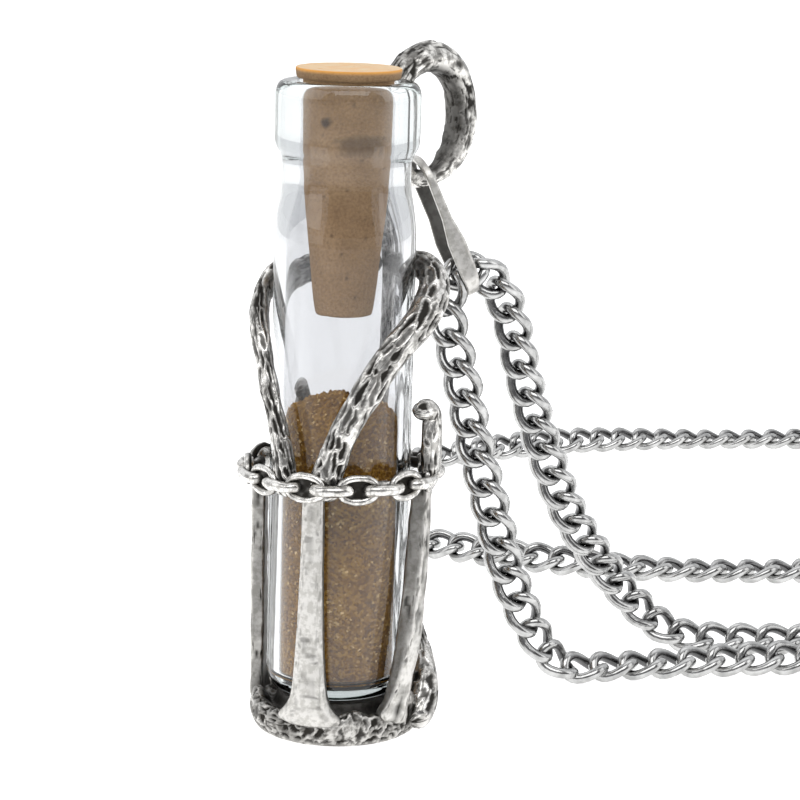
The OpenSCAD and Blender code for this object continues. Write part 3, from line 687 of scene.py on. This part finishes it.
def makeProngs(look):
    # Upright posts on the band whose narrower ends curl in to the glass
    shells = []
    t = look["thick"]
    r, top = cage["glass"] + 1.0 + t / 2, cage["bandZ"] + look["height"] - t / 2
    for post, tip in look["rows"]:
        path = easedRows([around(post, r, cage["bandZ"]), around(post, r, top - 2),
                          around(post, r, top - 0.6), around(mixed(post, tip, 0.25), r - 0.3, top),
                          around(tip, cage["glass"] + t / 2 + 0.1, top - 0.15)], 10)
        out = unit(path * [1, 1, 0])
        out = unit(out + [0, 0, 1] * smoothStep(path[:, 2:], top - 0.8, top))
        half = np.full(len(path), t / 2)
        wide = mixed(look["wide"] / 2, t * 0.58, smoothStep(path[:, 2], top - 2.2, top - 0.3))
        rings, stainAndShade = limbSkin(path, out, wide, half, look, spacing=0.08, sharp=2.8)
        shells.append(closedSkin(rings, stainAndShade))
    castPiece("prongs", shells, barkFinish)


# Flat straps. Columns: share of the way up, azimuth, width as a share of the strap's
straps = {"width": 1.8, "thick": 1.25, "foot": 1.82,
          "frontStrap": [[0, 12.5, 4.6], [0.05, 12.7, 3.1], [0.11, 12.8, 2], [0.2, 12.9, 1.6],
                         [0.4, 13, 1.3], [0.7, 13.3, 1.08], [1, 13.6, 1]],
          "rightStrap": [[0, 74, 2.3], [0.07, 78, 1.55], [0.16, 83, 1.25], [0.35, 91, 1.15],
                         [0.6, 99, 1.1], [0.8, 105, 1.05], [1, 109, 1.05]],
          "leftStrap": [[0, -77, 2], [0.07, -76, 1.45], [0.16, -75, 1.25], [0.35, -73, 1.2],
                        [0.6, -70, 1.15], [0.8, -68, 1.1], [1, -66, 1.1]]}
flatRelief = {"salt": 41, "pitLong": 0.8, "pitWide": 0.45, "ridge": 0.3, "slope": 0.3, "share": 0.35,
              "depth": 0.02, "tone": 0.5, "lump": 0.08, "lumpSize": 2.2, "wander": 0.4, "swirl": 0,
              "streak": 0.3, "shade": 0.8, "grime": 0.12}
roughRelief = {"salt": 47, "pitLong": 1.2, "pitWide": 0.6, "ridge": 0.35, "slope": 0.5, "share": 0.12,
               "depth": 0.08, "lump": 0.2, "lumpSize": 1.1, "wander": 1.2, "swirl": 0.1, "streak": 0.6,
               "shade": 0.7, "grime": 0.4}


def makeStrap(name, relief, sideShade, thicker=0):
    # A soft box limb, bent round the glass: turn = distance to the side / the glass's radius
    rows = easedRows(straps[name], 8)
    z = mixed(straps["foot"], cage["bandZ"], rows[:, 0])
    thick = straps["thick"] / 2 * (1 + thicker * smoothStep(rows[:, 0], 0.05, 0.4))
    path = around(rows[:, 1], cage["glass"] + 0.05 + thick, z)
    rings, stainAndShade = limbSkin(path, around(rows[:, 1], 1, 0 * z), rows[:, 2] * straps["width"] / 2, thick,
                           relief, sharp=5)
    # What lies far out to the side swings back to the strap's radius
    middle = unit(rings.mean(1)[:, None] * [1, 1, 0])
    side = np.cross([0, 0, 1], middle)
    out, across = (rings * middle).sum(-1), (rings * side).sum(-1)
    reach = np.abs(across).max(1, keepdims=True)
    stainAndShade = np.maximum(stainAndShade, sideShade * smoothStep(np.abs(across) / reach, 0.9, 0.995))  # painted shade on the side faces
    turn = across / (cage["glass"] + 0.6)
    rings = (middle * (out * np.cos(turn))[..., None] + side * (out * np.sin(turn))[..., None]
             + rings * [0, 0, 1])
    castPiece(name, [closedSkin(rings, stainAndShade)], strapFinish)


band = {"pairs": 11, "wire": 0.8, "faceWire": 0.66, "edgeWire": 1.0, "linkWide": 2.4, "faceWide": 2.75,
        "faceMore": 0.35, "edgeMore": 0.5, "webHigh": 1.05, "phase": 9.9, "steps": 44}


def ovalRings(length, width, wire, turn, steps, sides=14):
    # Round wire carried round an oval that lies in a plane; from the middle to each end it twists
    # about its long axis by turn
    a = angles(steps)
    x = (length - wire) / 2 * np.sign(np.cos(a)) * np.abs(np.cos(a)) ** 0.9
    w = (width - wire) / 2 * np.sign(np.sin(a)) * np.abs(np.sin(a)) ** 0.9
    twist = math.radians(turn) * x / ((length - wire) / 2)
    path = np.stack([x, w * np.cos(twist), w * np.sin(twist)], 1)
    heading = unit(np.roll(path, -1, 0) - np.roll(path, 1, 0))
    out = unit(path - heading * (path * heading).sum(1, keepdims=True))
    side = np.cross(heading, out)
    b = angles(sides)[None, :, None]
    return path[:, None] + wire / 2 * (out[:, None] * np.cos(b) + side[:, None] * np.sin(b))


def makeBand(look):
    # Ovals that face out and ovals on edge in turn, evenly round, their wire worn uneven by noise
    shells = []
    step = 360 / look["pairs"]
    r = cage["glass"] + 0.45 + look["linkWide"] / 2
    length = math.pi * r / look["pairs"] + 1.5 * look["wire"]
    face = ovalRings(length + look["faceMore"], look["faceWide"], look["faceWire"], 0, look["steps"])
    onEdge = ovalRings(length + look["edgeMore"], look["linkWide"], look["edgeWire"], 0, look["steps"])
    for k in range(look["pairs"]):
        for edge, rings in enumerate((face, onEdge)):
            azimuth = look["phase"] + step * (k + edge / 2)
            radial, along = around(azimuth, 1, 0), around(azimuth + 90, 1, 0)
            across = radial if edge else np.array([0, 0, 1.0])
            third = np.cross(along, across)
            placed = radial * r + [0, 0, cage["bandZ"]] + carried(rings, along, across, third)
            noise = layeredNoise(placed / 0.8, 71) - 0.5
            placed = placed + unit(placed - placed.mean(1, keepdims=True)) * (noise * 0.22)[..., None]
            outward = (unit(placed - placed.mean(1, keepdims=True)) * radial).sum(-1)
            # Painted shade where the wire faces in, toward the glass, and darker patches by noise
            stainAndShade = smoothStep(-outward, -0.35, 0.45) + 0.5 * smoothStep(noise, 0.12, 0.3)
            shells.append(loopedSkin(placed, np.clip(stainAndShade, 0, 1)))
        # Behind each oval that faces out the casting is closed by a sunk, black web
        azimuth = look["phase"] + step * k
        radial, along = around(azimuth, 1, 0), around(azimuth + 90, 1, 0)
        t = np.linspace(0.02, 1, 8)[:, None, None]
        a = angles(28)[None, :, None]
        web = (radial * (r + 0.05 - 0.25 * (1 - t**2)) + [0, 0, cage["bandZ"]]
               + along * (length / 2 - 0.4) * t * np.cos(a)
               + np.array([0, 0, look["webHigh"]]) * t * np.sin(a))
        web = np.concatenate([web, (web - radial * 0.5)[::-1]])
        stainAndShade = np.repeat([1, 0.1], 8)[:, None] * (0.6 + 0.8 * layeredNoise(web / 0.5, 75))
        shells.append(closedSkin(web, np.clip(stainAndShade, 0, 1)))
    castPiece("linkBand", shells, barkFinish)


base = {"radius": 7.6, "rim": 2.8, "pad": 3.4, "padRadius": 5.11, "sides": 420, "spacing": 0.12,
        "salt": 53, "pitLong": 1.0, "pitWide": 1.05, "ridge": 0.22, "slope": 0.2, "share": 0.8, "depth": 0.24,
        "lump": 0.32, "lumpSize": 1.6, "wander": 1.3, "swirl": 0, "streak": 0.7, "grime": 0.5,
        # Lumps of bark on the rim. Columns: azimuth, half angle, height above the rim
        "lumps": [[-55, 12, 0.8], [-98, 14, 0.7], [-150, 16, 0.6], [98, 14, 1.3], [128, 15, 2.4],
                  [162, 14, 0.9], [45, 10, 0.5]]}


def makeBase(look):
    # A turned foot whose rim is raised by the lumps, with the bark relief on all that shows
    r, rim = look["radius"], look["rim"]
    profile = easedRows([
        [0.05, 0], [4, 0], [r - 1.4, 0.02], [r - 0.75, 0.12], [r - 0.25, 0.7], [r, 1.6], [r - 0.1, 2.3],
        [r - 0.4, rim], [r - 0.85, rim + 0.05], [r - 1.3, rim - 0.2], [look["padRadius"] + 0.4, 2.3],
        [look["padRadius"], look["pad"] - 0.1], [look["padRadius"] - 0.3, look["pad"]], [2, look["pad"]],
        [0.05, look["pad"]]], 14)
    profile = evenRows(profile, look["spacing"])
    rings = turned(profile, look["sides"])
    azimuth = np.linspace(0, 360, look["sides"], endpoint=False)[None, :]
    rise = 0
    for middle, half, height in look["lumps"]:
        gap = np.abs((azimuth - middle + 180) % 360 - 180)
        rise = rise + height * smoothStep(half * 1.4 - gap, 0, half * 1.4)
    rings[..., 2] += rise * (smoothStep(rings[..., 2], 1.2, rim) * smoothStep(fromAxis(rings), 5.6, 6.6))
    normals = ringNormals(rings)
    run = lengthAlong(profile)[:, None]
    height, pits = barkRelief(rings, run, azimuth / 360, 2 * math.pi * r, look)
    exposed = smoothStep(fromAxis(rings), 5.4, 6.2) * smoothStep(rings[..., 2], 0.02, 0.3)
    rings = rings + normals * (height * exposed)[..., None]
    rings[..., 2] = np.maximum(rings[..., 2], 0)
    # Painted shade: faces that look in at the glass are darkened here too
    inward = -(normals[..., :2] * unit(rings[..., :2])).sum(-1)
    shadow = smoothStep(inward, 0.15, 0.75) * (fromAxis(rings) < 8.4)
    stainAndShade = np.maximum(pits * exposed, shadow * smoothStep(rings[..., 2], 1, 2))
    stainAndShade = np.maximum(stainAndShade, 0.9 * smoothStep(6.2 - fromAxis(rings), 0, 0.5) * (rings[..., 2] > 1))
    castPiece("castBase", [closedSkin(rings, stainAndShade)], baseFinish)


makeArm("leftArm", leftArm)
makeArm("rightArm", rightArm)
makeStem(rootAndStem)
makeCrook(crook)
makeProngs(prongs)
makeStrap("frontStrap", flatRelief, 0.75)
makeStrap("rightStrap", roughRelief, 0.55, 0.35)
makeStrap("leftStrap", roughRelief, 0.55)
makeBand(band)
makeBase(base)


# Bail: a strip bent into a long loop that hangs on the crook and leans to the picture's right

bail = {"length": 13.8, "thick": 0.5, "topGap": 4.5, "lowGap": 3.2, "lean": 24.5, "sideTurn": 17,
        "hang": 0.85, "farMore": 0.8, "spacing": 0.12,
        # Columns: share of the way down, width of the strip
        "widths": [[-0.01, 0.7], [0.45, 0.95], [0.62, 1.7], [0.85, 1.65], [1.01, 0.95]]}


def bailFrame(look):
    # Seat on the crook, and the bail's own directions: down its length, across the strip, and deep
    seat = crookMiddle(crook)[1] - [0, 0, crook["radius"]]
    lean, turn = math.radians(look["lean"]), math.radians(look["sideTurn"])
    down = pictureTurn([math.sin(lean), 0, -math.cos(lean)])
    wide = pictureTurn([math.cos(lean) * math.cos(turn), math.sin(turn), math.sin(lean) * math.cos(turn)])
    return seat, down, np.cross(wide, down), wide


def makeBail(look):
    seat, down, deep, wide = bailFrame(look)
    t = look["thick"]
    topR, lowR = (look["topGap"] + t) / 2, (look["lowGap"] + t) / 2
    topX = look["topGap"] / 2 - crook["seat"] / 2 - look["hang"]
    endX = topX - topR - t / 2
    lowX = endX + look["length"] - lowR - t / 2
    # The strip's middle line: round the top circle, straight to the low one, round it and back
    a = math.acos((topR - lowR) / (lowX - topX))
    top = np.linspace(a, 2 * math.pi - a, 60)
    low = np.linspace(-a, a, 60)
    line = np.vstack([np.column_stack([topX + topR * np.cos(top), topR * np.sin(top)]),
                      np.column_stack([lowX + lowR * np.cos(low), lowR * np.sin(low)])])
    line = evenRows(np.vstack([line, line[:1]]), look["spacing"])[:-1]
    heading = unit(np.roll(line, -1, 0) - np.roll(line, 1, 0))
    normal = np.column_stack([heading[:, 1], -heading[:, 0]])
    widths = np.array(look["widths"])
    share = (line[:, 0] - endX) / look["length"]
    # The far limb is the wider one, to the picture's right: it closes the gap that the near one leaves
    far = smoothStep(line[:, 1] * np.sign(deep @ pictureTurn([0, 1, 0])), 0.3, 1.5)
    more = look["farMore"] * (far * smoothStep(share, 0.12, 0.3)) * (1 - smoothStep(share, 0.5, 0.75))
    half = np.interp(share, widths[:, 0], widths[:, 1]) / 2 + more / 2
    b = angles(28)
    across, thick = (np.sign(v) * np.abs(v) ** 0.62 for v in (np.cos(b), np.sin(b)))
    x = line[:, :1] + normal[:, :1] * thick * t / 2
    y = line[:, 1:] + normal[:, 1:] * thick * t / 2
    z = half[:, None] * across + more[:, None] / 2
    rings = seat + x[..., None] * down + y[..., None] * deep + z[..., None] * wide
    # Painted shade: the inside face of the loop is darkened
    innerShade = smoothStep(-(thick[None, :] * np.ones_like(x)), -0.2, 0.8) * 0.8
    makePiece("bailLoop", "holder", [loopedSkin(rings, innerShade)], strapFinish, "bail")


makeBail(bail)


# Chain: true curb links, each twisted a quarter turn, on the CAD chain's route

chain = {"pitch": 2.95, "wire": 1.0, "long": 4.95, "wide": 3.8, "twist": -45, "steps": 28, "sides": 10,
         "leanBack": 22, "roll": 18, "rollLinks": 19, "firstShift": -0.5,
         "claspShare": 0.3125, "claspLinks": 3, "layZ": 1.56, "layDrop": 0.58}
# The necklace's route, right, back and up from the origin, as in the CAD source
layZ = chain["layZ"]
route = np.array([
    [10.47, 11.8, 40.5], [9.05, 11.35, 37.9], [9.32, 11.4, 35], [10.4, 11.6, 31.4],
    [11.2, 11.8, 28], [11.9, 12, 24.8], [12.9, 12.2, 21], [13.9, 12.4, 17.6],
    [14.8, 12.7, 14.2], [15.7, 13.1, 11.1], [17, 13.6, 7.8], [18.63, 14.2, 4.6],
    [20.56, 14.9, 2.5], [23.07, 15.7, layZ], [28.09, 17.1, layZ], [35.12, 18.7, layZ],
    [44.15, 20.1, layZ], [58.21, 20.7, layZ], [73.27, 20.9, layZ], [106.87, 27.7, layZ],
    [125.94, 46.2, layZ], [132.97, 71.3, layZ], [125.94, 96.4, layZ], [106.87, 114.9, layZ],
    [73.27, 122.5, layZ], [57.21, 124.1, layZ], [40.14, 121.9, layZ], [25.58, 117.1, layZ],
    [12.03, 109, layZ], [-0.02, 100.4, layZ], [-7.55, 90.4, layZ], [-8.05, 78.8, layZ],
    [-1.02, 68.3, layZ], [10.02, 61.3, layZ], [20.56, 56.6, layZ], [32.11, 54.4, layZ],
    [48.17, 55, layZ], [64.23, 55.8, layZ], [80.3, 55.6, layZ], [90.34, 51.2, layZ],
    [94.85, 41.2, layZ], [90.34, 31.1, layZ], [80.3, 26.7, layZ], [64.23, 26, layZ],
    [50.18, 26, layZ], [41.14, 26.3, layZ], [35.14, 26.4, 1.95], [31.09, 25.9, 3.25],
    [28.23, 24.8, 5.79], [25.6, 22.9, 9.2], [23.4, 21.2, 12.4], [21.4, 19.7, 15.8],
    [20.1, 18.5, 19], [18.8, 17.3, 22.4], [17.6, 16.2, 26.2], [16.5, 15.1, 30],
    [15.5, 14.1, 34.2], [14.45, 13.2, 37.6], [12.87, 12.45, 39.55]])


def chainJoints(look):
    # The places where links hook, an even step apart along the eased route, in the part's axes
    line = easedRows(route, 12, closed=True)
    s = lengthAlong(line)
    count = 2 * round(s[-1] / look["pitch"] / 2)
    at = (np.arange(count + 1) + look["firstShift"]) * s[-1] / count % s[-1]
    joints = np.stack([np.interp(at, s, line[:, k]) for k in range(3)], 1)
    lying = 1 - smoothStep(joints[:, 2], look["layZ"] + 0.2, 5.0)
    joints[:, 2] -= look["layDrop"] * lying
    return pictureTurn(joints), lying, count


def makeChain(look):
    # The same link at every step of the route but the clasp's, between one joint and the next
    joints, lying, count = chainJoints(look)
    heading = unit(joints[1:] - joints[:-1])
    middle = (joints[1:] + joints[:-1]) / 2
    # Hanging links show their face to the front, lying ones face up, with a smooth roll between
    lying = (lying[1:] + lying[:-1]) / 2
    soft = np.convolve(np.concatenate([lying[-3:], lying, lying[:3]]), np.ones(7) / 7, "valid")
    front = pictureTurn([0.0, -1.0, 0.0])
    lean = math.radians(look["leanBack"])
    flat = front * math.sin(lean) + np.array([0, 0, math.cos(lean)])
    facing = front * (1 - soft[:, None]) + flat * soft[:, None]
    facing = unit(facing - heading * (facing * heading).sum(1, keepdims=True))
    # The strands turn a little to and fro about their own length
    roll = np.radians(look["roll"] * np.sin(2 * math.pi * np.arange(count) / look["rollLinks"]))[:, None]
    facing = facing * np.cos(roll) + np.cross(heading, facing) * np.sin(roll)
    across = np.cross(facing, heading)
    rings = ovalRings(look["long"], look["wide"], look["wire"], look["twist"], look["steps"], look["sides"])
    first = 2 * round(look["claspShare"] * count)
    kept = [k for k in range(count) if not first <= k < first + look["claspLinks"]]
    points = middle[kept, None] + carried(rings.reshape(-1, 3), heading[kept, None], across[kept, None],
                                          facing[kept, None])
    points[..., 2] += np.maximum(0, -points[..., 2].min(1, keepdims=True))  # none sinks into the table
    quads, tris = skinFaces(*rings.shape[:2], looped=True)
    b = angles(look["sides"])
    # Painted shade: the inner side of each link's wire is darkened
    innerShade = np.tile(smoothStep(-np.cos(b), 0.1, 0.9) * 0.8, look["steps"])
    shells = [(corner, quads, tris, innerShade) for corner in points]
    makePiece("curbChain", "holder", shells, steelFinish, "chain")
    return joints, heading, facing, first


clasp = {"barrel": 2.6, "eye": 4.2, "eyeWide": 3.6, "wire": 0.85}


def makeClasp(look, joints, facing, first):
    # A turned barrel with rounded ends and a groove, and an eye at each end for the chain's last links
    start, end = joints[first], joints[first + chain["claspLinks"]]
    heading = unit(end - start)
    span = np.linalg.norm(end - start) + 2 * look["wire"]
    face = unit(facing[first + 1] - heading * (facing[first + 1] @ heading))
    across = np.cross(face, heading)
    middle = (start + end) / 2
    middle[2] = max(middle[2], look["barrel"] / 2 + 0.03)
    half = span / 2 - look["eye"] + look["eyeWide"] / 2 + 0.1
    r = look["barrel"] / 2
    profile = easedRows([[-half, 0.05], [-half, 0.5 * r], [-half + 0.15, 0.8 * r], [-half + 0.5, r],
                         [-0.35, r], [-0.15, 0.88 * r], [0.15, 0.88 * r], [0.35, r], [half - 0.5, r],
                         [half - 0.15, 0.8 * r], [half, 0.5 * r], [half, 0.05]], 5)
    a = angles(40)[None, :, None]
    barrel = (middle + profile[:, :1, None] * heading + profile[:, 1:2, None]
              * (across * np.cos(a) + face * np.sin(a)))
    shells = [closedSkin(barrel)]
    rings = ovalRings(look["eye"], look["eyeWide"], look["wire"], 0, 32, 12)
    rings = carried(rings, heading, across, face)
    for side in (-1, 1):
        shells.append(loopedSkin(middle + heading * side * (span - look["eye"]) / 2 + rings))
    makePiece("claspBarrel", "holder", shells, steelFinish, "clasp")


joints, heading, facing, first = makeChain(chain)
makeClasp(clasp, joints, facing, first)

print("pieces made")
